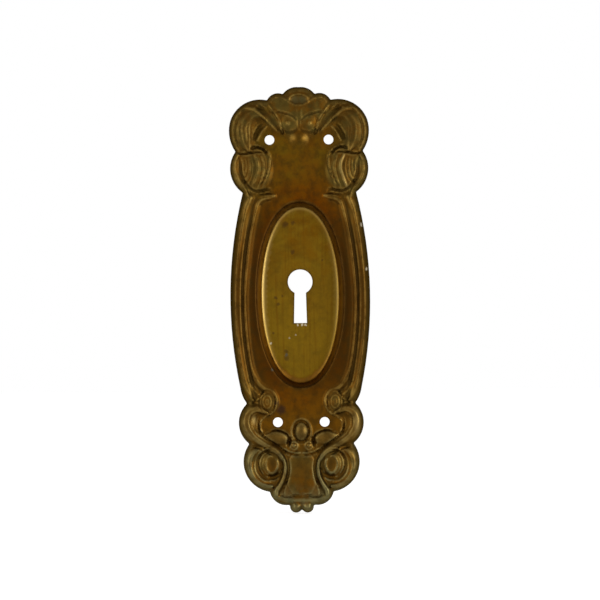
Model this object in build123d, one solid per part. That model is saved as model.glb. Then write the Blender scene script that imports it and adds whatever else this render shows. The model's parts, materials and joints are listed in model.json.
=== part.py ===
from build123d import *
import os

# Recessed plate for a sliding pocket door, pressed from one sheet of brass.
# X runs across, Z up, and the front faces -Y.
# The sheet's turned-down edge meets the door on the plane Y = 0.
# All sizes are in millimetres.

plate_width = 60.4
plate_height = 184.0
sheet = 1.0
field_height = 3.0
edge_bevel = 1.1
notch_round = 0.7

# The ornament, the cup and the holes are drawn for a plate 60.4 wide, 184 high and 3 deep.
# They stretch with the plate.
stretch_x = plate_width / 60.4
stretch_z = plate_height / 184.0
stretch_rise = field_height / 3.0

cup_width = 38.0 * stretch_x
cup_height = 80.4 * stretch_z
cup_above_middle = 2.3 * stretch_z
cup_depth = 8.0
cup_wall_angle = 12.0
cup_end_round = 11.5
cup_lip_round = 1.0
cup_floor_round = 1.6

key_above_middle = 7.7 * stretch_z
key_round = 10.7
key_slot_top = 4.7
key_slot_bottom = 5.6
key_slot_drop = 17.9

screw_hole = 4.2
top_screw_spacing = 25.5 * stretch_x
top_screw_height = 69.0 * stretch_z
bottom_screw_spacing = 20.2 * stretch_x
bottom_screw_height = -52.9 * stretch_z

# How far the foot of a raised form reaches into the sheet below the field.
rooted = 0.3

# The flat top of a raised form, as a share of its width, and a knob's rise as a share of its band's.
flat_top_share = 0.42
knob_share = 1.05

lens_width = 9.0 * stretch_x
lens_height = 4.4 * stretch_z
lens_above_middle = 85.9 * stretch_z
lens_sunk = 0.2


def front(height):
    """The plane across the plate at a height above the door face."""
    return Plane.XZ.offset(height)


def drawn(x, z):
    """A point of the drawing at the plate's own size."""
    return (x * stretch_x, z * stretch_z)


# Outline: lobes of one or two arcs down the right side, mirrored on the left.
lobes = [
    [[(0, 91.8), (4.2, 91.1), (6.9, 88.8)]],
    [[(6.9, 88.8), (10.8, 88.9), (13.7, 86.2)]],
    [[(13.7, 86.2), (23.2, 85.0), (29.5, 77.8)], [(29.5, 77.8), (30.1, 70.7), (27.5, 64.1)]],
    [[(27.5, 64.1), (29.8, 55.3), (24.5, 46.3)]],
    [[(24.5, 46.3), (30.2, -0.5), (26.2, -38.0)], [(26.2, -38.0), (25.2, -41.7), (23.4, -44.8)]],
    [[(23.4, -44.8), (27.0, -52.9), (22.5, -62.2)]],
    [[(22.5, -62.2), (24.3, -74.6), (13.8, -83.0)]],
    [[(13.8, -83.0), (10.9, -87.5), (5.0, -88.6)]],
    [[(5.0, -88.6), (3.0, -92.0), (0, -90.3)]],
]
chain = []
notches = [drawn(*lobes[-1][-1][-1])]
for side in (1, -1):
    for lobe in lobes:
        for arc in lobe:
            chain.append(ThreePointArc(*[drawn(side * x, z) for x, z in arc]))
    for lobe in lobes[1:]:
        x, z = lobe[0][0]
        notches.append(drawn(side * x, z))
outline = make_face(chain)
corners = [outline.vertices().sort_by_distance(notch)[0] for notch in notches]
outline = fillet(corners, notch_round)

# Pan: a flat field with its edge turned down to the door, hollow behind.
pan = extrude(front(0) * outline, field_height)
pan = chamfer(pan.faces().sort_by(Axis.Y)[0].edges(), edge_bevel)
inset = []
for edge in offset(outline, -sheet).edges():
    is_arc = edge.geom_type == GeomType.CIRCLE
    inset.append(edge if is_arc else ThreePointArc(edge @ 0, edge @ 0.5, edge @ 1))
pan = pan - extrude(front(0) * make_face(inset), field_height - sheet)


# Cup: an oval well of four arcs, drawn down behind the field.
def well(grow, top, bottom):
    """The cup's oval, larger all round by grow, leaning in from top to bottom."""
    across = cup_width / 2 + grow
    along = cup_height / 2 + grow
    end = cup_end_round + grow
    side = (across**2 + along**2 - 2 * along * end) / (2 * (across - end))
    reach = end / (side - end)
    turn_x = (side - across) * reach
    turn_z = (along - end) * (1 + reach)
    arcs = []
    for flip in (1, -1):
        arcs.append(RadiusArc((flip * turn_x, -flip * turn_z), (flip * turn_x, flip * turn_z), -side))
        arcs.append(RadiusArc((flip * turn_x, flip * turn_z), (-flip * turn_x, flip * turn_z), -end))
    mouth = front(top) * Pos(0, cup_above_middle) * make_face(arcs)
    return extrude(mouth, bottom - top, taper=cup_wall_angle)


floor_height = field_height - cup_depth
shell = well(sheet, field_height - sheet / 2, floor_height - sheet)
bowl = well(0, field_height, floor_height)
bowl = chamfer(bowl.faces().sort_by(Axis.Y)[-1].edges(), cup_floor_round)
pan = pan + shell - bowl
field = pan.faces().filter_by(Axis.Y).sort_by(Axis.Y)[0]
pan = chamfer(field.inner_wires()[0].edges(), cup_lip_round)


# Raised forms, pressed up out of the field.
# They are drawn flat, with the field at zero height, and then laid on the plate.
def boss(x, z, half, rise):
    """A round boss: a sloping side under a flat top."""
    foot = half * stretch_x
    top = rise * stretch_rise
    flats = [(0, -rooted), (foot + rooted, -rooted), (flat_top_share * foot, top), (0, top)]
    return Pos(*drawn(x, z)) * revolve(Plane.XZ * make_face(Polyline(*flats, close=True)), Axis.Z)


def band(points, half, rise, knobs=(), lead=0):
    """A band along an arc through three points, run on from both its ends by arcs to the other points.

    Lead is the number of points before the three, and knobs are half widths of bosses at the band's ends.
    """
    spots = [drawn(x, z) for x, z in points]
    path = [ThreePointArc(*spots[lead : lead + 3])]
    for spot in spots[lead + 3 :]:
        path.append(TangentArc(path[-1] @ 1, spot, tangent=path[-1] % 1))
    for spot in reversed(spots[:lead]):
        back = TangentArc(path[0] @ 0, spot, tangent=-(path[0] % 0))
        path.insert(0, ThreePointArc(back @ 1, back @ 0.5, back @ 0))
    along = path[0] % 0
    place = Plane(path[0] @ 0, x_dir=(-along.Y, along.X, 0), z_dir=along)
    foot = half * stretch_x
    flats = [(foot + rooted, -rooted), (flat_top_share * foot, rise * stretch_rise)]
    flats += [(-x, height) for x, height in reversed(flats)]
    forms = [sweep(place * make_face(Polyline(*flats, close=True)), path=Wire(path))]
    for knob, end in zip(knobs, (points[0], points[-1])):
        forms.append(boss(*end, knob, rise * knob_share))
    return forms


# Forms on the right side, from the crest down.
right = [boss(4.0, 76.2, 3.0, 1.8)]
right += band([(7.4, 72.4), (10.2, 76.6), (15.0, 79.8), (18.6, 79.8)], 2.2, 1.4)
right += band([(17.0, 80.2), (22.6, 78.2), (24.2, 73.0), (22.6, 66.8)], 3.8, 2.1, (3.4, 3.8))
right += [boss(20.2, 55.8, 8.2, 1.7)]
right += band([(20.4, 43.6), (26.5, 0.0), (22.1, -38.4), (20.0, -42.8)], 2.0, 1.5)
right += band([(11.6, 44.6), (18.0, 39.0), (23.0, 0.0), (19.3, -34.8), (12.6, -40.0)], 1.0, 0.8, lead=1)
right += [boss(14.6, -44.0, 3.5, 1.1)]
right += band([(15.2, -48.6), (20.8, -48.4), (22.6, -52.6), (18.2, -60.6), (13.8, -63.6)], 2.8, 2.0, (2.4,))
right += band([(14.4, -63.2), (11.0, -65.8), (7.2, -72.2), (9.4, -79.8), (10.6, -83.4)], 1.8, 1.6)
right += [boss(8.8, -59.2, 3.0, 1.15)]
right += band([(18.8, -65.6), (21.0, -71.8), (14.0, -79.4)], 2.2, 1.4)
right += [boss(13.2, -70.8, 4.0, 1.3)]
wing = right[0]
for form in right[1:]:
    wing += form

# Forms on the middle line, with the right side's and their mirror image.
raised = [boss(0, 80.6, 9.4, 1.25), boss(0, 69.7, 3.1, 1.1)]
raised += [boss(0, -57.0, 3.5, 1.7), boss(0, -76.0, 6.2, 0.8)]
raised += band([(-8.6, -84.8), (0, -86.3), (8.6, -84.8)], 1.6, 1.05)
raised += [wing, mirror(wing, Plane.YZ)]
plate = pan
for form in raised:
    plate += front(field_height) * form

# Lens-shaped hollow in the crest, of two arcs, sunk a little below the field.
tips = [(side * lens_width / 2, lens_above_middle) for side in (-1, 1)]
rims = [(0, lens_above_middle + side * lens_height / 2) for side in (-1, 1)]
lens = make_face([ThreePointArc(tips[0], rim, tips[1]) for rim in rims])
plate -= extrude(front(field_height - lens_sunk) * lens, field_height)

# Keyhole through the cup's floor: a round with a slot that widens to its square end.
key = Circle(key_round / 2)
slot = [(key_slot_top / 2, 0), (key_slot_bottom / 2, -key_slot_drop)]
key += make_face(Polyline(*slot, *[(-x, z) for x, z in reversed(slot)], close=True))
plate -= extrude(front(floor_height) * Pos(0, key_above_middle) * key, -2 * sheet, both=True)

# Screw holes: two above the cup, two below it.
screw_pairs = ((top_screw_spacing, top_screw_height), (bottom_screw_spacing, bottom_screw_height))
for spacing, height in screw_pairs:
    for side in (1, -1):
        hole = front(0) * Pos(side * spacing / 2, height) * Circle(screw_hole / 2)
        plate -= extrude(hole, 2 * field_height)

os.makedirs("parts", exist_ok=True)
export_step(plate, "parts/plate.step")
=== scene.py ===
import json
import math
import bpy
import numpy as np
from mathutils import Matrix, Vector
from mathutils.geometry import delaunay_2d_cdt


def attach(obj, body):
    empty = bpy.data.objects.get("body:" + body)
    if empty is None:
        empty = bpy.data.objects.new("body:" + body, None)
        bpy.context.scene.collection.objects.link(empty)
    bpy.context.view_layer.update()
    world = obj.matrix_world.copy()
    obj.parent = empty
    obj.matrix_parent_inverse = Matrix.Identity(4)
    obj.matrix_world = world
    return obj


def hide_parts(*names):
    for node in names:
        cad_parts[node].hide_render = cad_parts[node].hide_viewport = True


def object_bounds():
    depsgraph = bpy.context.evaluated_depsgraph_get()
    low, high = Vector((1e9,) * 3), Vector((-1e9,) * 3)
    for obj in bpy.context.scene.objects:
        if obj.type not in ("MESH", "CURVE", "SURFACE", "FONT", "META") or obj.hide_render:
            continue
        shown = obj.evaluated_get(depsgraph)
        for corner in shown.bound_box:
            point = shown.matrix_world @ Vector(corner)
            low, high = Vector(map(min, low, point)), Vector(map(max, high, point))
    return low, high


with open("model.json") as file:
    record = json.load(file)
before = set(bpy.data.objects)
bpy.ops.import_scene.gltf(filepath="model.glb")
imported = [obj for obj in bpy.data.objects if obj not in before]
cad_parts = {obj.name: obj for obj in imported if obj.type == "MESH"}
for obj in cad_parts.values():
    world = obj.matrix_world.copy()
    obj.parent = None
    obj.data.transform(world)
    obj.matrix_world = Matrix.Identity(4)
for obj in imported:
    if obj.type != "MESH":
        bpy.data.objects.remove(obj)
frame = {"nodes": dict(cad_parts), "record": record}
cad_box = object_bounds()

# Plate
# One sheet of brass about 1 mm thick, pressed between dies into a border of scrolls and leaves.
# Its edge is turned down to the door, a cup for the fingertips is drawn down behind it, and screws hold it.

# Sizes in millimetres: x across, z up, and heights that stand out from the door face.
MM = 0.001
SHEET_THICKNESS = 1.0
FIELD_HEIGHT = 3.0
FLOOR_HEIGHT = -5.0
EDGE_HEIGHT = 1.3
EDGE_ROLL = 2.0


def cad_loops(level):
    """Closed outlines of the solid's flat faces at one height, each in order round its loop."""
    close = 0.01
    mesh = frame["nodes"]["plate"].data
    mesh.calc_loop_triangles()
    spots = np.array([vertex.co for vertex in mesh.vertices]) / MM
    same = {}
    for number, spot in enumerate(np.round(spots, 3)):
        same.setdefault(tuple(spot), number)
    first = [same[tuple(spot)] for spot in np.round(spots, 3)]
    after = {}
    for triangle in mesh.loop_triangles:
        corners = [first[number] for number in triangle.vertices]
        if any(abs(spots[number][1] + level) > close for number in corners):
            continue
        for a, b in zip(corners, corners[1:] + corners[:1]):
            if b in after and a in after[b]:
                after[b].remove(a)
            else:
                after.setdefault(a, []).append(b)
    loops = []
    while any(after.values()):
        start = next(number for number in after if after[number])
        loop = [start]
        while after[loop[-1]]:
            loop.append(after[loop[-1]].pop())
        loops.append(np.array([spots[number][[0, 2]] for number in loop[:-1]]))
    return sorted(loops, key=lambda loop: -np.ptp(loop[:, 1]))


def spaced(loop, step):
    """A closed loop cut into pieces no longer than a step."""
    points = []
    for a, b in zip(loop, np.roll(loop, -1, axis=0)):
        count = max(1, math.ceil(np.hypot(*(b - a)) / step))
        points += [a + (b - a) * number / count for number in range(count)]
    return np.array(points)


def closed(loop):
    """A loop with its first point again at its end."""
    return np.vstack([loop, loop[:1]])


def distance(points, path):
    """Each point's distance to a path of straight runs, and where along the path its nearest place is."""
    nearest = np.full(len(points), 1e9)
    place = np.zeros(len(points))
    for number, (a, b) in enumerate(zip(path, path[1:])):
        run = b - a
        share = np.clip(((points - a) @ run) / (run @ run + 1e-12), 0, 1)
        gap = np.hypot(*(points - a - share[:, None] * run).T)
        closer = gap < nearest
        nearest[closer] = gap[closer]
        place[closer] = number + share[closer]
    return nearest, place


def inside(points, loop):
    """Which points lie inside a closed loop."""
    result = np.zeros(len(points), bool)
    for a, b in zip(loop, np.roll(loop, -1, axis=0)):
        if a[1] == b[1]:
            continue
        level = (a[1] > points[:, 1]) != (b[1] > points[:, 1])
        result ^= level & (points[:, 0] < a[0] + (points[:, 1] - a[1]) * (b[0] - a[0]) / (b[1] - a[1]))
    return result


# Outlines of the sheet: its edge on the door face, the keyhole in the cup's floor and the screw holes.
BORDER_STEP = 0.45
OUTLINE_STEP = BORDER_STEP * 1.2
SCREW_HOLE_CORNERS = 30
edge_loop = spaced(cad_loops(0)[0], OUTLINE_STEP)
keyhole_loop = spaced(min(cad_loops(FLOOR_HEIGHT), key=lambda loop: np.ptp(loop[:, 0])), OUTLINE_STEP)
turn = np.radians(np.arange(SCREW_HOLE_CORNERS) * 360 / SCREW_HOLE_CORNERS)
screw_round = np.column_stack([np.cos(turn), np.sin(turn)])
screw_loops = []
for mount in frame["record"]["mounts"]:
    if mount["kind"] != "bolt_pattern":
        continue
    for side in (1, -1):
        middle = np.array([side * mount["dims"]["spacing_x_mm"] / 2, mount["pos_m"][2] / MM])
        screw_loops.append(middle + screw_round * mount["dims"]["hole_r_mm"])

# The cup is a full oval, with rings from its lip to its floor, each at an inset and a height.
CUP_HALF_WIDTH = 19.0
CUP_HALF_HEIGHT = 40.2
CUP_FULLNESS = 2.12
CUP_MIDDLE = 2.0
CUP_RING_POINTS = 300
CUP_INSET = [-0.6, -0.3, -0.1, 0.1, 0.3, 0.55, 0.8, 1.05, 1.3, 1.55, 1.75, 1.95, 2.2, 2.55, 3.0, 3.6]
CUP_HEIGHT = [FIELD_HEIGHT, 2.96, 2.84, 2.55, 2.0, 1.1, 0.0, -1.1, -2.2, -3.1, -3.7, -4.2, -4.55,
              -4.8, -4.95, FLOOR_HEIGHT]


def cup_inset(points):
    """How far each point lies inside the cup's oval, by the smaller oval through it, found by halving."""
    across = np.abs(points[:, 0])
    along = np.abs(points[:, 1] - CUP_MIDDLE)
    low = np.full(len(points), -80.0)
    high = np.full(len(points), CUP_HALF_WIDTH - 0.01)
    for _ in range(30):
        middle = (low + high) / 2
        size = (across / (CUP_HALF_WIDTH - middle)) ** CUP_FULLNESS
        size += (along / (CUP_HALF_HEIGHT - middle)) ** CUP_FULLNESS
        low = np.where(size < 1, middle, low)
        high = np.where(size < 1, high, middle)
    return low


def cup_ring(inset):
    """Points round the cup's oval at one inset."""
    turn = np.linspace(0, 2 * math.pi, CUP_RING_POINTS, endpoint=False)
    parts = (np.cos(turn), np.sin(turn))
    across, along = [np.sign(part) * np.abs(part) ** (2 / CUP_FULLNESS) for part in parts]
    along = along * (CUP_HALF_HEIGHT - inset) + CUP_MIDDLE
    return np.column_stack([across * (CUP_HALF_WIDTH - inset), along])


# Points of the sheet: a close net over the border, rings down the cup's wall and a wide net on its floor.
FLOOR_STEP = 1.3
ROW_SHARE = 0.866
CLEAR_OF_OUTLINES = BORDER_STEP * 0.55
CLEAR_OF_LIP = BORDER_STEP / 2
CLEAR_OF_WALL = 0.6


def net(step):
    """Rows of points a step apart, each row half a step aside of the last."""
    low, high = edge_loop.min(axis=0), edge_loop.max(axis=0)
    rows = np.arange(low[1], high[1], step * ROW_SHARE)
    cols = np.arange(-math.ceil(-low[0] / step) * step, high[0] + step, step)
    points = [np.column_stack([cols + step / 2 * (number % 2), np.full(len(cols), row)])
              for number, row in enumerate(rows)]
    return np.vstack(points)


holes = [keyhole_loop] + screw_loops
border = net(BORDER_STEP)
border = border[cup_inset(border) < CUP_INSET[0] - CLEAR_OF_LIP]
floor = net(FLOOR_STEP)
floor = floor[cup_inset(floor) > CUP_INSET[-1] + CLEAR_OF_WALL]
points = np.vstack([border, floor])
points = points[inside(points, edge_loop)]
for loop in [edge_loop] + holes:
    gap, _ = distance(points, closed(loop))
    points = points[gap > CLEAR_OF_OUTLINES]
for loop in holes:
    points = points[~inside(points, loop)]
rings = [cup_ring(inset) for inset in CUP_INSET]
loops = [edge_loop] + holes + rings
links = []
start = 0
for loop in loops:
    links += [(start + number, start + (number + 1) % len(loop)) for number in range(len(loop))]
    start += len(loop)
every_point = np.vstack(loops + [points])
cut = delaunay_2d_cdt([Vector(point) for point in every_point], links, [], 1, 1e-5)
spots = np.array(cut[0])
faces = np.array(cut[2])
middles = spots[faces].mean(axis=1)
keep = inside(middles, edge_loop)
for loop in holes:
    keep &= ~inside(middles, loop)
faces = faces[keep]

# Relief: heights above the field, the same on both sides of the middle line.
x, z = spots.T
on_left = x < 0
off_middle = np.abs(x)
here = np.column_stack([off_middle, z])
relief = np.zeros(len(here))


def bell(share):
    """A soft bump over the shares from -1 to 1."""
    return (1 - np.clip(np.abs(share), 0, 1) ** 2) ** 2


def curve(points, steps=12):
    """A smooth path through given points, with any third value carried along it."""
    points = np.array(points, float)
    ends = np.vstack([2 * points[0] - points[1], points, 2 * points[-1] - points[-2]])
    share = np.linspace(0, 1, steps, endpoint=False)[:, None]
    runs = []
    for a, b, c, d in zip(ends, ends[1:], ends[2:], ends[3:]):
        bend = 2 * a - 5 * b + 4 * c - d
        twist = 3 * b - a - 3 * c + d
        runs.append(0.5 * (2 * b + (c - a) * share + bend * share**2 + twist * share**3))
    return np.vstack(runs + [points[-1:]])


def lift(heights, soft=0.4):
    """Raises the relief to a form's heights where they stand higher, with a soft join."""
    join = np.clip(1 - np.abs(relief - heights) / soft, 0, 1)
    relief[:] = np.where(heights > 0, np.maximum(relief, heights) + soft * join**2 / 4, relief)


def near(path, reach):
    """The points close enough to a path to be touched by it."""
    low = path[:, :2].min(axis=0) - reach
    high = path[:, :2].max(axis=0) + reach
    return np.all((here > low) & (here < high), axis=1)


def swell(points, rise):
    """Raises a rounded band; each point is x, z and the band's half width there."""
    path = curve(points)
    touched = near(path, path[:, 2].max())
    gap, place = distance(here[touched], path[:, :2])
    half = np.interp(place, np.arange(len(path)), path[:, 2])
    heights = np.zeros(len(here))
    heights[touched] = rise * bell(gap / np.maximum(half, 0.01))
    lift(heights)


def oval_share(middle, radii, turn=0.0):
    """How far out each point lies in a turned oval: 0 at its middle, 1 at its rim."""
    across, along = (here - middle).T
    cosine, sine = math.cos(math.radians(turn)), math.sin(math.radians(turn))
    out_across = (across * cosine + along * sine) / radii[0]
    out_along = (along * cosine - across * sine) / radii[1]
    return np.hypot(out_across, out_along)


def boss(middle, radii, rise, fullness, turn=0.0):
    """Heights of an oval boss; a low fullness gives steep sides and a broad top."""
    share = np.clip(oval_share(middle, radii, turn), 0, 1)
    return rise * (1 - share**2) ** fullness


def line(points, half, rise, taper=0.2, on_right=1.0):
    """Adds a fine ridge, or with a negative rise a groove, that fades towards its ends.

    On_right is its strength on the plate's right side, as a share of that on the left.
    """
    path = curve(points)
    touched = near(path, half)
    gap, place = distance(here[touched], path)
    share = place / (len(path) - 1)
    fade = np.clip(np.minimum(share, 1 - share) / taper, 0, 1)
    strength = rise * np.where(on_left[touched], 1, on_right)
    relief[touched] += strength * bell(gap / half) * fade * (2 - fade)


def ring(middle, radii, half, rise, where=True):
    """Adds a fine ridge or groove round an oval."""
    relief[:] += rise * bell((oval_share(middle, radii) - 1) * min(radii) / half) * where


# Crest leaf between the corner scrolls.
lift(boss((0, 80.7), (13.0, 11.7), 1.3, 0.8))
# Corner scrolls: a broad band from its tail beside the crest, over the corner and down.
swell([(6.7, 71.6, 0.6), (9.9, 75.9, 2.2), (14.3, 79.6, 3.0), (19.5, 80.3, 4.3), (22.9, 76.8, 5.2),
       (23.6, 71.6, 5.2), (22.3, 66.9, 3.9), (21.6, 64.7, 2.2)], 1.9)
# Shoulder shells.
lift(boss((19.9, 56.1), (8.7, 9.9), 1.7, 0.7))
swell([(26.4, 62.5, 1.3), (27.9, 59.1, 1.9), (27.9, 55.6, 2.4), (26.4, 51.7, 2.4), (23.4, 47.4, 1.7),
       (22.1, 44.4, 1.3)], 1.6)
# Rails along the bowed sides, an outer and an inner one.
swell([(21.4, 43.9, 2.4), (23.8, 36.6, 2.8), (25.9, 21.5, 3.0), (27.0, -0.2, 3.0), (26.4, -19.6, 3.0),
       (24.4, -32.6, 2.6), (22.1, -40.4, 1.7), (20.8, -43.4, 1.3)], 1.5)
swell([(11.0, 44.8, 1.3), (14.3, 44.2, 1.5), (17.3, 42.6, 1.6), (18.8, 38.8, 1.7), (21.0, 27.9, 1.7),
       (22.9, 12.8, 1.7), (23.8, -0.2, 1.7), (23.1, -15.3, 1.7), (21.6, -27.0, 1.7), (19.0, -34.8, 1.7),
       (15.6, -38.4, 1.7), (12.1, -40.0, 1.5), (10.4, -43.9, 1.3), (11.7, -47.7, 1.1),
       (14.3, -49.5, 0.9)], 0.9)
# Small oval scroll at the foot of each rail.
lift(boss((14.7, -44.1), (3.2, 4.8), 0.7, 0.7))
# Stems that run down in an S to the foot.
swell([(14.7, -48.8, 1.3), (19.0, -47.3, 2.8), (22.5, -49.0, 3.5), (23.6, -52.5, 3.7), (22.5, -56.4, 3.5),
       (19.0, -60.1, 3.0), (14.7, -63.1, 2.6), (10.6, -65.9, 2.2), (8.0, -68.9, 1.7), (7.1, -72.4, 1.6),
       (7.6, -76.3, 1.6), (9.3, -79.8, 1.7), (10.8, -82.3, 2.2), (11.2, -84.5, 2.2)], 2.0)
# Leaf wings, the bud between them and the curls under it.
lift(boss((10.8, -59.6), (5.8, 3.0), 1.2, 0.8, turn=10))
lift(boss((0, -57.0), (3.0, 4.1), 1.7, 0.7))
lift(boss((3.2, -63.1), (2.2, 2.4), 1.0, 0.8))
# Volutes of the lower lobes, with their eyes.
swell([(16.4, -64.6, 1.7), (20.3, -65.9, 2.6), (22.3, -69.4, 3.0), (21.8, -73.7, 3.2), (19.5, -77.6, 3.0),
       (16.0, -79.8, 2.2), (13.0, -80.6, 1.5)], 1.5)
lift(boss((13.4, -70.7), (5.2, 5.6), 1.0, 0.6))
# Panel between the stems, the foot's lip and the two beads at the end.
lift(boss((0, -75.4), (6.9, 10.4), 0.8, 0.5))
swell([(0, -86.7, 2.2), (4.3, -86.7, 2.2), (8.7, -85.8, 1.7), (11.2, -84.5, 1.7)], 1.1)
lift(boss((2.6, -89.7), (2.4, 2.6), 1.2, 0.7))
# The crest's petals and the drop under them.
relief += boss((4.1, 76.2), (3.7, 4.1), 0.5, 0.9)
lift(boss((0, 69.6), (4.3, 4.2), 1.7, 1.2))
# Hollows sunk between the forms, with the lens of the crest first.
relief -= boss((0, 86.2), (4.2, 2.2), 0.75, 0.8)
line([(15.4, 76.0), (17.3, 73.8), (18.6, 71.2), (19.4, 68.6)], 1.4, -0.95, 0.4)
relief -= boss((5.3, -61.4), (1.2, 2.6), 0.9, 0.8, turn=12)
line([(21.6, 64.9), (18.2, 65.8), (15.4, 64.7), (13.8, 62.5)], 0.9, -0.65, 0.25)
line([(9.5, -75.0), (12.1, -76.7), (14.7, -75.9)], 1.4, -0.75, 0.25)
relief -= boss((12.9, -71.0), (2.4, 3.6), 0.3, 0.8)
# Fine lines of the corner scrolls.
line([(25.9, 79.8), (24.2, 82.4), (22.1, 83.3), (17.3, 82.0), (14.4, 81.0)], 0.9, 0.4)
line([(24.6, 82.2), (22.4, 82.6), (19.6, 82.0), (17.0, 80.2), (14.3, 77.5), (12.0, 75.3), (9.2, 72.8),
      (7.2, 71.4)], 0.8, 0.55)
line([(18.6, 83.4), (16.2, 81.9), (13.6, 79.6), (11.0, 76.8), (8.6, 74.0), (7.2, 72.4)], 2.0, -1.4)
line([(13.8, 75.4), (15.6, 72.8), (17.2, 70.2), (18.2, 68.0)], 0.8, 0.55)
line([(26.2, 79.0), (27.5, 74.6), (27.5, 69.9), (25.9, 65.6)], 0.8, -0.5)
for aside in (0.0, 1.6, 3.2, 4.7):
    line([(24.7 - aside, 76.4), (25.4 - aside, 73.8), (25.2 - aside, 71.0), (24.3 - 0.75 * aside, 67.2)],
         0.6, -0.4, 0.5, on_right=0.35)
# Fine lines of the crest.
line([(13.2, 84.6), (11.5, 82.0), (9.9, 79.6), (8.9, 77.7), (8.0, 75.3), (7.1, 72.9),
      (6.5, 71.8)], 0.8, 0.7)
line([(1.0, 77.3), (3.2, 79.4), (7.4, 80.7), (10.2, 81.2)], 0.7, -0.4)
line([(0.4, 73.6), (1.6, 72.8), (4.3, 72.1), (6.9, 72.5)], 0.8, -0.3)
line([(0, 78.6), (0, 76.2), (0, 73.6)], 0.6, -0.25, 0.25)
line([(1.0, 82.6), (1.0, 80.2), (1.1, 77.6)], 0.5, 0.16, 0.4)
relief += boss((4.7, 75.9), (0.9, 1.2), 0.35, 0.8)
ring((0, 86.2), (4.3, 2.3), 0.55, 0.3)
line([(4.8, 85.9), (6.9, 87.0), (10.4, 87.8)], 0.7, 0.35)
# Ribs of the shoulder shells.
line([(20.0, 67.3), (16.9, 66.2), (14.3, 64.7), (12.8, 62.5), (12.5, 59.5), (12.9, 56.5), (14.3, 52.2),
      (16.0, 48.3)], 0.75, 0.6)
line([(16.4, 62.5), (15.1, 58.6), (15.3, 55.2), (16.4, 51.3), (18.2, 47.8)], 0.7, 0.5, on_right=0.5)
line([(19.4, 63.0), (17.9, 59.3), (17.9, 55.8), (18.9, 52.6), (20.4, 48.3)], 0.8, 0.65)
line([(21.2, 62.0), (20.5, 57.6), (21.2, 53.0), (23.0, 50.6), (25.0, 52.4), (26.0, 56.4),
      (25.6, 60.4)], 0.6, -0.35)
line([(22.6, 61.6), (22.0, 57.6), (22.6, 54.2), (23.7, 52.7), (24.7, 54.6), (25.0, 57.6),
      (24.6, 60.4)], 0.6, -0.3)
line([(23.6, 60.6), (23.3, 57.6), (23.8, 55.4)], 0.6, -0.25)
line([(17.4, 62.8), (16.3, 58.8), (16.4, 55.2), (17.4, 51.2), (18.8, 48.0)], 0.7, -0.2)
line([(14.8, 62.8), (13.9, 59.4), (14.1, 55.8), (15.3, 51.6), (17.0, 48.2)], 0.7, -0.2)
line([(25.9, 62.1), (25.5, 58.2), (25.1, 54.3), (22.9, 50.0), (19.9, 47.2), (16.4, 47.0), (13.8, 47.6),
      (11.7, 46.8)], 0.9, -0.65)
line([(26.8, 63.6), (23.8, 63.0), (20.8, 63.4), (17.3, 63.8), (15.6, 63.4)], 0.7, -0.6)
# Fine lines of the rails: three reeds along the bowed side, and the turns at both ends.
BOW_RADIUS = 166.7
BOW_MIDDLE = (-136.5, -0.6)
RAIL_HALF_LENGTH = 30
RAIL_FADE = 14
from_bow = BOW_RADIUS - np.hypot(*(here - BOW_MIDDLE).T)
along_rail = bell((np.abs(z - BOW_MIDDLE[1]) - RAIL_HALF_LENGTH).clip(0) / RAIL_FADE)
for inset, half, rise in ((2.2, 0.9, 0.35), (4.3, 0.9, 0.4), (6.3, 0.8, 0.35)):
    relief += rise * bell((from_bow - inset) / half) * along_rail
line([(11.2, 46.1), (15.1, 45.7), (18.6, 45.2)], 0.5, -0.4)
line([(11.7, 44.4), (15.1, 44.2), (18.2, 43.3)], 0.5, -0.35)
line([(11.7, 43.2), (15.1, 42.4), (17.5, 40.5)], 0.5, -0.3)
line([(15.4, -39.5), (17.5, -42.1), (19.7, -43.4), (21.6, -42.6), (23.4, -39.5), (25.1, -36.1),
      (25.9, -32.6)], 0.8, 0.6)
# Rings of the small oval scrolls, and the lines that run to them from the rails.
ring((14.7, -44.1), (1.1, 2.0), 0.45, -0.2)
ring((14.7, -44.1), (2.2, 3.5), 0.5, -0.3)
ring((14.7, -44.1), (3.5, 5.0), 0.55, -0.35)
line([(18.6, -44.4), (20.8, -44.4), (22.9, -44.6)], 0.6, 0.4)
line([(23.0, -33.4), (21.2, -37.6), (18.8, -40.6), (16.8, -41.6)], 0.6, 0.35)
line([(21.6, -32.4), (19.8, -36.6), (17.2, -39.4), (15.0, -40.0)], 0.5, -0.25)
# Lines along the stems.
line([(16.4, -49.0), (19.9, -48.8), (21.6, -50.8), (21.8, -54.2), (20.1, -57.7), (16.4, -60.7),
      (12.1, -63.5)], 0.6, -0.4)
line([(17.9, -50.3), (18.6, -53.8), (17.7, -57.3), (14.9, -59.9), (9.1, -64.0), (6.5, -66.6)], 0.6, -0.55)
line([(11.9, -49.2), (15.1, -50.2), (17.3, -52.4), (17.7, -55.5), (16.7, -57.4)], 0.6, 0.5)
line([(22.1, -62.9), (17.7, -64.4), (13.0, -66.8), (10.4, -68.9)], 0.7, -0.45)
# Borders of the wings, the bud and the curls.
line([(16.4, -58.3), (11.2, -56.5), (6.7, -57.9), (5.3, -60.3), (5.4, -62.9)], 0.6, -0.7)
ring((0, -57.0), (3.3, 4.5), 0.6, -0.4)
ring((0, -57.0), (4.4, 5.6), 0.6, 0.3, z > -59)
ring((3.2, -63.1), (1.0, 1.1), 0.4, -0.4)
line([(0, -66.1), (3.0, -65.9), (5.6, -65.3), (7.4, -64.0)], 0.6, 0.5)
line([(0, -67.2), (3.5, -67.0), (6.1, -66.3), (7.8, -65.0)], 0.6, -0.4)
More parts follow.
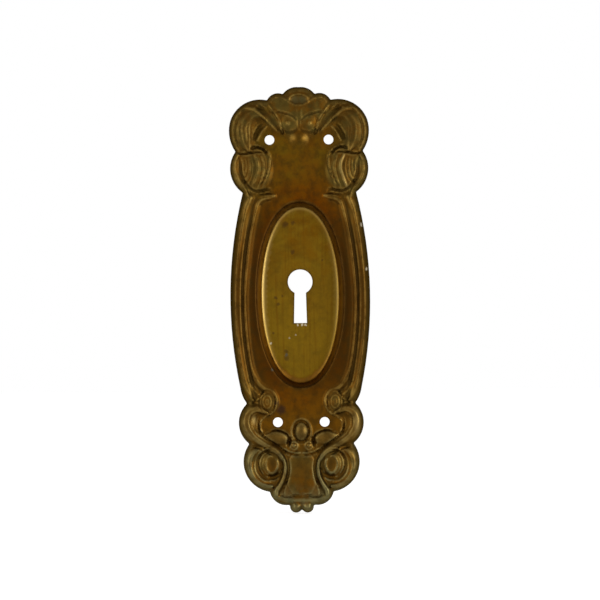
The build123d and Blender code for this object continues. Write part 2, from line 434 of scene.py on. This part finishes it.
# Rings of the volutes and the lines of the foot.
ring((12.9, -71.0), (2.5, 3.7), 0.6, 0.3)
ring((13.4, -71.3), (6.7, 7.2), 0.6, 0.25, off_middle > 13.4)
ring((13.2, -71.1), (4.1, 5.2), 0.6, -0.25)
ring((13.4, -71.1), (5.4, 6.3), 0.7, -0.3)
ring((13.4, -71.5), (7.8, 8.0), 0.6, -0.3, off_middle > 13.4)
line([(0, -85.2), (2.6, -84.4), (5.6, -85.2), (8.0, -84.5), (7.8, -81.5), (6.1, -77.2), (5.4, -72.8),
      (5.8, -68.5)], 0.7, -0.45)

# The highest crests are pressed flatter, and the whole rolls down to the edge and into the cup.
CREST = 1.7
ABOVE_CREST = 0.4
relief = np.where(relief > CREST, CREST + (relief - CREST) * ABOVE_CREST, relief)
from_edge, _ = distance(spots, closed(edge_loop))
roll = np.sin(np.clip(from_edge / EDGE_ROLL, 0, 1) * math.pi / 2)
height = EDGE_HEIGHT + (FIELD_HEIGHT + relief - EDGE_HEIGHT) * roll
into_cup = cup_inset(spots)
in_cup = into_cup > CUP_INSET[0]
height[in_cup] = np.interp(into_cup[in_cup], CUP_INSET, CUP_HEIGHT)

# Where the finish differs over the plate, and where shade and highlights are painted on it, as masks that
# the sheet's points carry.
sides = np.vstack([faces[:, [0, 1]], faces[:, [1, 2]], faces[:, [2, 0]]])


def softened(values, rounds):
    """Values averaged with those of their neighbours, again and again."""
    count = np.bincount(sides.ravel(), minlength=len(values))
    for _ in range(rounds):
        total = np.bincount(sides[:, 0], values[sides[:, 1]], len(values))
        total += np.bincount(sides[:, 1], values[sides[:, 0]], len(values))
        values = (values + total / np.maximum(count, 1)) / 2
    return values


def part_way(values, low, high):
    """How far each value is on the way from low to high, from 0 to 1."""
    return np.clip((values - low) / (high - low), 0, 1)


# Painted shade: darker in the hollows, in the groove beside the crest, in the volutes' eyes and round the
# keyhole, a painted dark reflection in the middle of the drop, and darker towards the upper corners.
outside = into_cup < -0.5
# Painted shade, deeper where the sheet sinks below its neighbours.
hollow_shade = part_way(softened(height, 45) - height, 0.03, 0.5) * outside
hollow_shade *= 1 - 0.4 * part_way(-z, 43, 49)
# Painted shade in the groove beside the crest.
valley, _ = distance(here, curve([(17.0, 82.4), (14.0, 79.9), (11.4, 77.0), (9.0, 74.0), (7.6, 72.4)]))
hollow_shade = np.maximum(hollow_shade, 0.85 * bell(valley / 2.1))
# Painted shade in the eye of each volute.
hollow_shade = np.maximum(hollow_shade, 0.8 * bell(oval_share((12.6, -70.8), (1.9, 3.0))))
# Painted shadow of the sheet's cut edge round the keyhole.
to_keyhole, _ = distance(spots, closed(keyhole_loop))
hollow_shade = np.maximum(hollow_shade, 0.8 * (1 - part_way(to_keyhole, 0.1, 0.9)))
# A painted dark reflection in the middle of the drop.
hollow_shade = np.maximum(hollow_shade, 0.75 * bell(oval_share((0, 69.4), (2.1, 3.6))))
# Darker towards the upper corners, away from the middle, a little more on the right at the top.
upper_corner_dark = 0.3 * part_way(z, 46, 50) + np.where(on_left, 0.2, 0.32) * part_way(z, 62, 66)
hollow_shade = np.maximum(hollow_shade, part_way(off_middle, 11, 15) * upper_corner_dark)

# Bright ridges, worn metal with painted highlights: fainter on the cup's lip and the rails, and on the drop
# only a painted highlight at each of its two sides.
ridge_wear_and_highlight = part_way(height - softened(height, 5), 0.015, 0.11) * np.where(outside, 1, 0.35) * (into_cup < 0.6)
ridge_wear_and_highlight *= 1 - 0.6 * along_rail
# No highlight on the drop's top, and a painted highlight at each of its two sides.
ridge_wear_and_highlight *= 1 - bell(np.hypot(x, z - 69.6) / 5.5)
ridge_wear_and_highlight = np.maximum(ridge_wear_and_highlight, 0.65 * bell(oval_share((2.7, 69.8), (1.9, 2.8))))

# Rubbed metal with painted highlights: at the foot of the cup's wall, stronger on the left, on the stem at
# each side and on one rib of the right shell.
rub_and_highlight = bell((into_cup - 2.95) / 0.95) * np.where(on_left, 1, 0.35) * bell((z - 6) / 38)
rub_and_highlight = np.maximum(rub_and_highlight, 0.34 * bell((into_cup - 2.1) / 1.8) * part_way(z, 20, 36))
rub_and_highlight = np.maximum(rub_and_highlight, 0.35 * bell(np.hypot((x - 24.0) / 1.9, (z + 53.4) / 6.5)))
rub_and_highlight = np.maximum(rub_and_highlight, 0.4 * bell(np.hypot((x + 20.4) / 1.3, (z + 51.8) / 3.0)))
right_rib = curve([(19.5, 62.4), (18.0, 59.1), (18.0, 56.0), (19.0, 52.8), (20.4, 48.8)])
to_rib, _ = distance(spots, right_rib)
rub_and_highlight = np.maximum(rub_and_highlight, 0.32 * bell(to_rib / 0.8))

# Painted shade on the turned-down edge, broader round the crest, and the carving, which leaves out the drop
# and most of the rails.
edge_shade = 1 - part_way(from_edge, 0.3, 1.9)
edge_shade = np.maximum(edge_shade, 0.8 * (1 - part_way(from_edge, 0.6, 3.4)) * part_way(z, 78, 86))
carving = part_way(softened(np.where(outside & (relief > 0.25), 1.0, 0.0), 40), 0.25, 0.75)
carving = np.maximum(carving, 1 - part_way(from_edge, 2.5, 5.0))
carving *= 1 - bell(np.hypot(x, z - 69.0) / 7)
carving *= 1 - 0.85 * along_rail

# The cup's floor and its wall, painted shade at the cup's lower end and round its mouth, darker along the
# rails, and a painted highlight on its lip.
low_end = part_way(-z, 18, 34)
beside = np.clip(x / CUP_HALF_WIDTH, -1, 1) ** 2
darker_right = np.where(on_left, 0.9, 1.0)
# Painted shade at the cup's lower end: there the floor's gold starts further in and the wall is less
# bright; the wall is also less bright on its left side.
cup_floor = part_way(into_cup - 2.1 * low_end, 1.8, 2.5)
cup_wall = part_way(into_cup, -0.1, 0.5) * (1 - cup_floor)
cup_wall *= (1 - 0.65 * low_end) * np.where(on_left, 1 - 0.3 * beside, 1)
# Painted shade round the cup's mouth, stronger out at its sides and on the right.
rim_shade_and_dark_rails = part_way(into_cup, -6.5, -1.5) * beside * darker_right
rim_shade_and_dark_rails = np.maximum(rim_shade_and_dark_rails, 0.7 * part_way(into_cup, -1.4, -0.2))
rim_shade_and_dark_rails *= 1 - part_way(into_cup, -0.2, 0.3)
# Darker along the rails.
rim_shade_and_dark_rails = np.maximum(rim_shade_and_dark_rails, 0.72 * along_rail * darker_right * outside)
# A painted highlight along the cup's lip.
lip = bell((into_cup - 0.35) / 0.5)

# Warmer brown: round the cup, on the panel at the foot and in the volutes.
warmth = part_way(into_cup, -13.0, -1.5)
warmth = np.maximum(warmth, 0.8 * bell(oval_share((0, -75.4), (8.5, 12.0))))
warmth = np.maximum(warmth, 0.9 * bell(oval_share((12.9, -71.0), (5.5, 6.5))))

# The sheet becomes a mesh, its edge is turned down to the door, and it gets its thickness.
SHARP_ANGLE = 50
sheet = bpy.data.meshes.new("plate_sheet")
sheet.from_pydata((np.column_stack([x, -height, z]) * MM).tolist(), [], faces.tolist())
carried = {
    "shade_highlight_and_wear": (hollow_shade, ridge_wear_and_highlight, edge_shade),
    "cup": (cup_floor, cup_wall, rim_shade_and_dark_rails),
    "zone": (carving, rub_and_highlight, warmth),
}
for name, masks in carried.items():
    held = sheet.attributes.new(name, "FLOAT_VECTOR", "POINT")
    held.data.foreach_set("vector", np.column_stack(masks).ravel())
sheet.attributes.new("lip", "FLOAT", "POINT").data.foreach_set("value", lip)
plate = bpy.data.objects.new("pressed_plate", sheet)
bpy.context.scene.collection.objects.link(plate)
bpy.ops.object.select_all(action="DESELECT")
bpy.context.view_layer.objects.active = plate
plate.select_set(True)
bpy.ops.object.mode_set(mode="EDIT")
bpy.ops.mesh.select_all(action="DESELECT")
bpy.ops.object.mode_set(mode="OBJECT")
for number in range(len(edge_loop)):
    sheet.vertices[number].select = True
bpy.ops.object.mode_set(mode="EDIT")
bpy.ops.mesh.select_mode(type="EDGE")
bpy.ops.mesh.extrude_edges_move(TRANSFORM_OT_translate={"value": (0, EDGE_HEIGHT * MM, 0)})
bpy.ops.object.mode_set(mode="OBJECT")
thickness = plate.modifiers.new("thickness", "SOLIDIFY")
thickness.thickness = SHEET_THICKNESS * MM
thickness.offset = -1
bpy.ops.object.modifier_apply(modifier="thickness")
# The first half of its points lie on the front, and the others on the back.
front = np.zeros(len(sheet.vertices))
front[: len(front) // 2] = 1
sheet.attributes.new("front", "FLOAT", "POINT").data.foreach_set("value", front)
bpy.ops.object.shade_smooth_by_angle(angle=math.radians(SHARP_ANGLE))
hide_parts("plate")
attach(plate, "root")

# Aged brass: a brown skin over yellow metal, with painted shade darkening the hollows.
brass = bpy.data.materials.new("aged_brass")
brass.use_nodes = True
nodes = brass.node_tree.nodes
wires = brass.node_tree.links
shader = nodes["Principled BSDF"]


def node(kind, inputs, output, **settings):
    """Adds a node, sets or links its inputs, and gives back one of its outputs."""
    made = nodes.new("ShaderNode" + kind)
    for name, value in settings.items():
        setattr(made, name, value)
    for name, value in inputs.items():
        if isinstance(value, bpy.types.NodeSocket):
            wires.new(value, made.inputs[name])
        else:
            made.inputs[name].default_value = value
    return made.outputs[output]


def blend(mask, under, over):
    """One colour over another by a mask; a colour is a socket or three numbers."""
    under, over = [(*colour, 1) if isinstance(colour, tuple) else colour for colour in (under, over)]
    return node("Mix", {0: mask, 6: under, 7: over}, 2, data_type="RGBA")


def spread(value, low, high, start=0.0, end=1.0):
    """A value brought from one range into another and kept there."""
    return node("MapRange", {0: value, 1: low, 2: high, 3: start, 4: end}, 0)


def times(a, b):
    """A mask made weaker by another mask or by a number."""
    return node("Math", {0: a, 1: b}, 0, operation="MULTIPLY")


def plus(a, b):
    """Two values added up."""
    return node("Math", {0: a, 1: b}, 0, operation="ADD")


def larger(a, b):
    """The larger of two masks."""
    return node("Math", {0: a, 1: b}, 0, operation="MAXIMUM")


def marks(name):
    """The three masks that the sheet carries under one name."""
    split = nodes.new("ShaderNodeSeparateXYZ")
    wires.new(node("Attribute", {}, "Vector", attribute_name=name), split.inputs[0])
    return split.outputs


in_hollow_shade, on_ridge_wear_and_highlight, at_edge_shade = marks("shade_highlight_and_wear")
on_floor, on_wall, at_rim_shade_and_rails = marks("cup")
on_carving, on_rub_and_highlight, by_cup = marks("zone")
on_front = node("Attribute", {}, "Fac", attribute_name="front")
on_lip_highlight = node("Attribute", {}, "Fac", attribute_name="lip")
place = node("TexCoord", {}, "Object")
up = node("SeparateXYZ", {0: place}, "Z")


def grain(size, detail=3.0, stretch=(1, 1, 1)):
    """Uneven patches about as large as a size in metres."""
    spot = node("Mapping", {"Vector": place, "Scale": stretch}, 0)
    return node("TexNoise", {"Vector": spot, "Scale": 1 / size, "Detail": detail, "Roughness": 0.6}, 0)


patches = grain(0.016)
mottle = grain(0.0032, 5.0)
fleck = grain(0.0007, 2.0)
streaks = grain(0.0012, 2.0, (1, 1, 0.04))

# Field: brown, more olive in its upper part, warmer near the cup, darker in patches, with painted shade
# round the mouth and darker along the rails.
FIELD_BROWN = (0.094, 0.0385, 0.0024)
FIELD_OLIVE = (0.090, 0.0500, 0.0030)
FIELD_WARM = (0.099, 0.0270, 0.0006)
FIELD_DARK = (0.030, 0.0122, 0.0018)
upper_field = spread(up, 0.02, 0.05)
skin = blend(times(upper_field, spread(grain(0.011), 0.45, 0.65, 0.0, 0.8)), FIELD_BROWN, FIELD_OLIVE)
skin = blend(times(by_cup, spread(patches, 0.25, 0.55)), skin, FIELD_WARM)
skin = blend(spread(grain(0.0045, 4.0, (1, 1, 0.45)), 0.52, 0.30, 0.0, 0.5), skin, FIELD_DARK)
# Painted shade round the mouth, and darker along the rails.
skin = blend(at_rim_shade_and_rails, skin, FIELD_DARK)

# Carving: olive, browner in patches, on the stems and near the cup.
CARVED_OLIVE = (0.066, 0.0430, 0.0080)
CARVED_BROWN = (0.084, 0.0355, 0.0032)
on_stems = times(spread(up, -0.040, -0.050), spread(up, -0.074, -0.062, 0.0, 0.7))
browner = larger(larger(spread(grain(0.006), 0.42, 0.58), on_stems), by_cup)
skin = blend(on_carving, skin, blend(browner, CARVED_OLIVE, CARVED_BROWN))

# Cup: a brown wall, a golden floor that is redder in its upper half and streaked upright, and a painted
# grey highlight along the lip.
WALL_BROWN = (0.230, 0.1250, 0.0180)
FLOOR_GOLD = (0.142, 0.0800, 0.0048)
FLOOR_BROWN = (0.122, 0.0650, 0.0044)
FLOOR_RED = (0.115, 0.0480, 0.0020)
LIP_HIGHLIGHT_GREY = (0.110, 0.0680, 0.0380)
skin = blend(on_wall, skin, WALL_BROWN)
floor_skin = blend(spread(patches, 0.35, 0.65), FLOOR_BROWN, FLOOR_GOLD)
upper_floor = times(spread(up, 0.004, 0.026), spread(grain(0.006), 0.40, 0.62, 0.0, 0.8))
floor_skin = blend(upper_floor, floor_skin, FLOOR_RED)
floor_skin = blend(spread(streaks, 0.5, 0.72, 0.0, 0.5), floor_skin, FIELD_BROWN)
skin = blend(on_floor, skin, floor_skin)
# Painted highlight on the lip.
skin = blend(times(on_lip_highlight, 0.6), skin, LIP_HIGHLIGHT_GREY)

# Painted shade in the hollows, bright ridges of worn metal with painted highlights, painted shade on the
# edge, green tarnish towards the foot, dark specks, and rubbed metal with painted highlights.
HOLLOW_SHADE_AND_SPECKS = (0.026, 0.0155, 0.0034)
WORN_RIDGE_HIGHLIGHT = (0.170, 0.1050, 0.0230)
EDGE_SHADE = (0.024, 0.0135, 0.0026)
VERDIGRIS = (0.105, 0.1000, 0.0440)
RUB_HIGHLIGHT_GOLD = (0.440, 0.3100, 0.1000)
# Painted shade in the hollows.
skin = blend(times(in_hollow_shade, 0.75), skin, HOLLOW_SHADE_AND_SPECKS)
# Worn ridges with painted highlights.
skin = blend(times(on_ridge_wear_and_highlight, spread(mottle, 0.3, 0.7, 0.1, 0.9)), skin, WORN_RIDGE_HIGHLIGHT)
# Painted shade on the turned-down edge.
skin = blend(times(at_edge_shade, 0.75), skin, EDGE_SHADE)
low_ridges = times(spread(up, -0.045, -0.075), larger(on_ridge_wear_and_highlight, times(at_edge_shade, 0.5)))
green = times(low_ridges, spread(patches, 0.32, 0.52))
skin = blend(times(green, 0.65), skin, VERDIGRIS)
at_foot = times(spread(up, -0.079, -0.086), spread(grain(0.004), 0.42, 0.6))
skin = blend(times(at_foot, 0.45), skin, VERDIGRIS)
freckles = times(spread(mottle, 0.57, 0.32, 0.0, 0.5), spread(on_floor, 0.0, 1.0, 1.0, 0.45))
skin = blend(freckles, skin, HOLLOW_SHADE_AND_SPECKS)
# Painted highlights with rubbed metal.
skin = blend(times(on_rub_and_highlight, 0.8), skin, RUB_HIGHLIGHT_GOLD)

# Stains, grey marks, the olive lens of the crest and pale chips, with outlines that wander a little.
STAIN = (0.022, 0.0115, 0.0070)
GREY_MARK = (0.060, 0.0560, 0.0400)
LENS_OLIVE = (0.058, 0.0480, 0.0170)
PALE_CHIP = (0.480, 0.4200, 0.3000)
WANDER = (0.0016, 0, 0.0016)
HALF_BACK = (-0.0008, 0, -0.0008)
waver = node("TexNoise", {"Vector": place, "Scale": 700.0, "Detail": 2.0}, "Color")
waver = node("VectorMath", {0: waver, 1: WANDER, 2: HALF_BACK}, 0, operation="MULTIPLY_ADD")
ragged = node("VectorMath", {0: place, 1: waver}, 0, operation="ADD")


def spots_at(places, height):
    """A mask of ragged spots at one height; each place is x, z and radius in millimetres."""
    mask = 0.0
    for x, z, radius in places:
        middle = (x * MM, -height * MM, z * MM)
        gap = node("VectorMath", {0: ragged, 1: middle}, "Value", operation="DISTANCE")
        mask = larger(mask, spread(gap, radius * MM, radius * MM * 0.4))
    return mask


floor_stains = [(-6.3, 32.6, 1.8), (-2.8, 33.2, 1.2), (-3.2, 20.6, 1.3), (-10.8, 0.7, 0.9),
                (-7.8, 1.6, 0.8), (-9.6, -1.9, 0.9), (-11.8, -14.4, 0.8), (9.6, 17.1, 0.7),
                (-6.3, -22.6, 1.3), (-6.1, -25.3, 1.6)]
field_stains = [(-8.6, -47.6, 2.6), (-10.6, -44.8, 1.5)]
lens = [(-1.5, 86.1, 2.6), (1.7, 86.1, 2.6)]
slot_chips = [(-1.3, -11.0, 0.6), (0.8, -11.0, 0.6), (2.1, -10.9, 0.6), (-12.9, -18.8, 0.6)]
faint_chips = [(-4.9, -16.6, 0.55), (-2.2, -15.1, 0.55)]
edge_chips = [(26.9, 32.3, 1.2), (28.8, 13.2, 1.1)]
for places, level, strength, colour in (
    (floor_stains, FLOOR_HEIGHT, 0.5, STAIN),
    (field_stains, FIELD_HEIGHT, 0.75, STAIN),
    ([(-6.4, -24.0, 0.9)], FLOOR_HEIGHT, 0.8, GREY_MARK),
    ([(-12.1, -30.0, 1.0)], FIELD_HEIGHT, 0.8, GREY_MARK),
    (lens, FIELD_HEIGHT, 0.6, LENS_OLIVE),
    (slot_chips, FLOOR_HEIGHT, 0.7, PALE_CHIP),
    (faint_chips, FLOOR_HEIGHT, 0.35, PALE_CHIP),
    (edge_chips, FIELD_HEIGHT, 0.8, PALE_CHIP),
):
    skin = blend(times(spots_at(places, level), strength), skin, colour)

# The back is dull, without wear.
BACK_DULL = (0.046, 0.0270, 0.0060)
BACK_BROWN = (0.085, 0.0450, 0.0080)
bare_back = blend(spread(patches, 0.35, 0.65), BACK_DULL, BACK_BROWN)
skin = blend(on_front, bare_back, skin)
wires.new(skin, shader.inputs["Base Color"])

# Metal throughout, a little rougher in the hollows, with fine unevenness.
shader.inputs["Metallic"].default_value = 1.0
shader.inputs["Specular Tint"].default_value = (0.75, 0.66, 0.50, 1)
rough = plus(spread(mottle, 0.3, 0.7, 0.36, 0.48), times(in_hollow_shade, 0.2))
wires.new(rough, shader.inputs["Roughness"])
unevenness = plus(fleck, times(streaks, 0.6))
uneven = node("Bump", {"Strength": 0.12, "Distance": 0.0003, "Height": unevenness}, 0)
wires.new(uneven, shader.inputs["Normal"])
plate.data.materials.append(brass)

# Floor, light and camera
# A plain pale floor under the plate and a white room, with a soft lamp on each side.
FLOOR_SIZE = 4
FLOOR_DROP = 0.0005
bpy.ops.mesh.primitive_plane_add(size=FLOOR_SIZE, location=(0, 0, cad_box[0][2] - FLOOR_DROP))
ground = bpy.context.object
ground.name = "floor"
white = bpy.data.materials.new("white_floor")
white.use_nodes = True
world = bpy.data.worlds.new("studio")
world.use_nodes = True
bpy.context.scene.world = world


def seen():
    """One for the camera, for metal's reflections and for light through glass, and zero for other light."""
    light_path = nodes.new("ShaderNodeLightPath")
    seen_or_reflected = larger(light_path.outputs["Is Camera Ray"], light_path.outputs["Is Glossy Ray"])
    return larger(seen_or_reflected, light_path.outputs["Is Transmission Ray"])


nodes = white.node_tree.nodes
wires = white.node_tree.links
paint = nodes["Principled BSDF"]
paint.inputs["Base Color"].default_value = (0.8, 0.8, 0.8, 1)
paint.inputs["Roughness"].default_value = 0.9
glow = node("Emission", {"Strength": 0.6}, 0)
lit = node("AddShader", {0: paint.outputs["BSDF"], 1: glow}, 0)
choice = node("MixShader", {0: seen(), 1: paint.outputs["BSDF"], 2: lit}, 0)
wires.new(choice, nodes["Material Output"].inputs["Surface"])
ground.data.materials.append(white)

nodes = world.node_tree.nodes
wires = world.node_tree.links
room = nodes["Background"]
room.inputs["Color"].default_value = (1, 1, 1, 1)
room.inputs["Strength"].default_value = 0.5
backdrop = node("Background", {"Color": (1, 1, 1, 1)}, 0)
choice = node("MixShader", {0: seen(), 1: room.outputs["Background"], 2: backdrop}, 0)
wires.new(choice, nodes["World Output"].inputs["Surface"])

LAMP_SIZE = 0.5
for name, spot, power in (("left_lamp", (-0.7, -0.6, 0.1), 3), ("right_lamp", (0.7, -0.6, 0.08), 6)):
    bpy.ops.object.light_add(type="AREA", location=spot)
    lamp = bpy.context.object
    lamp.name = name
    lamp.data.size = LAMP_SIZE
    lamp.data.energy = power
    lamp.rotation_euler = (-Vector(spot)).to_track_quat("-Z", "Y").to_euler()

PHOTO_PIXELS = 600
MM_PER_PIXEL = 0.4325
CAMERA_AWAY = 1.5
CAMERA_ASIDE = -0.00013
CAMERA_UP = -0.0002
CAMERA_ROLL = 0.47
SENSOR_WIDTH = 36
bpy.ops.object.camera_add(location=(CAMERA_ASIDE, -CAMERA_AWAY, CAMERA_UP))
camera = bpy.context.object
camera.rotation_euler = (math.radians(90), math.radians(CAMERA_ROLL), 0)
camera.data.sensor_width = SENSOR_WIDTH
camera.data.lens = SENSOR_WIDTH * CAMERA_AWAY / (PHOTO_PIXELS * MM_PER_PIXEL * MM)
bpy.context.scene.camera = camera
bpy.context.scene.view_settings.view_transform = "Standard"
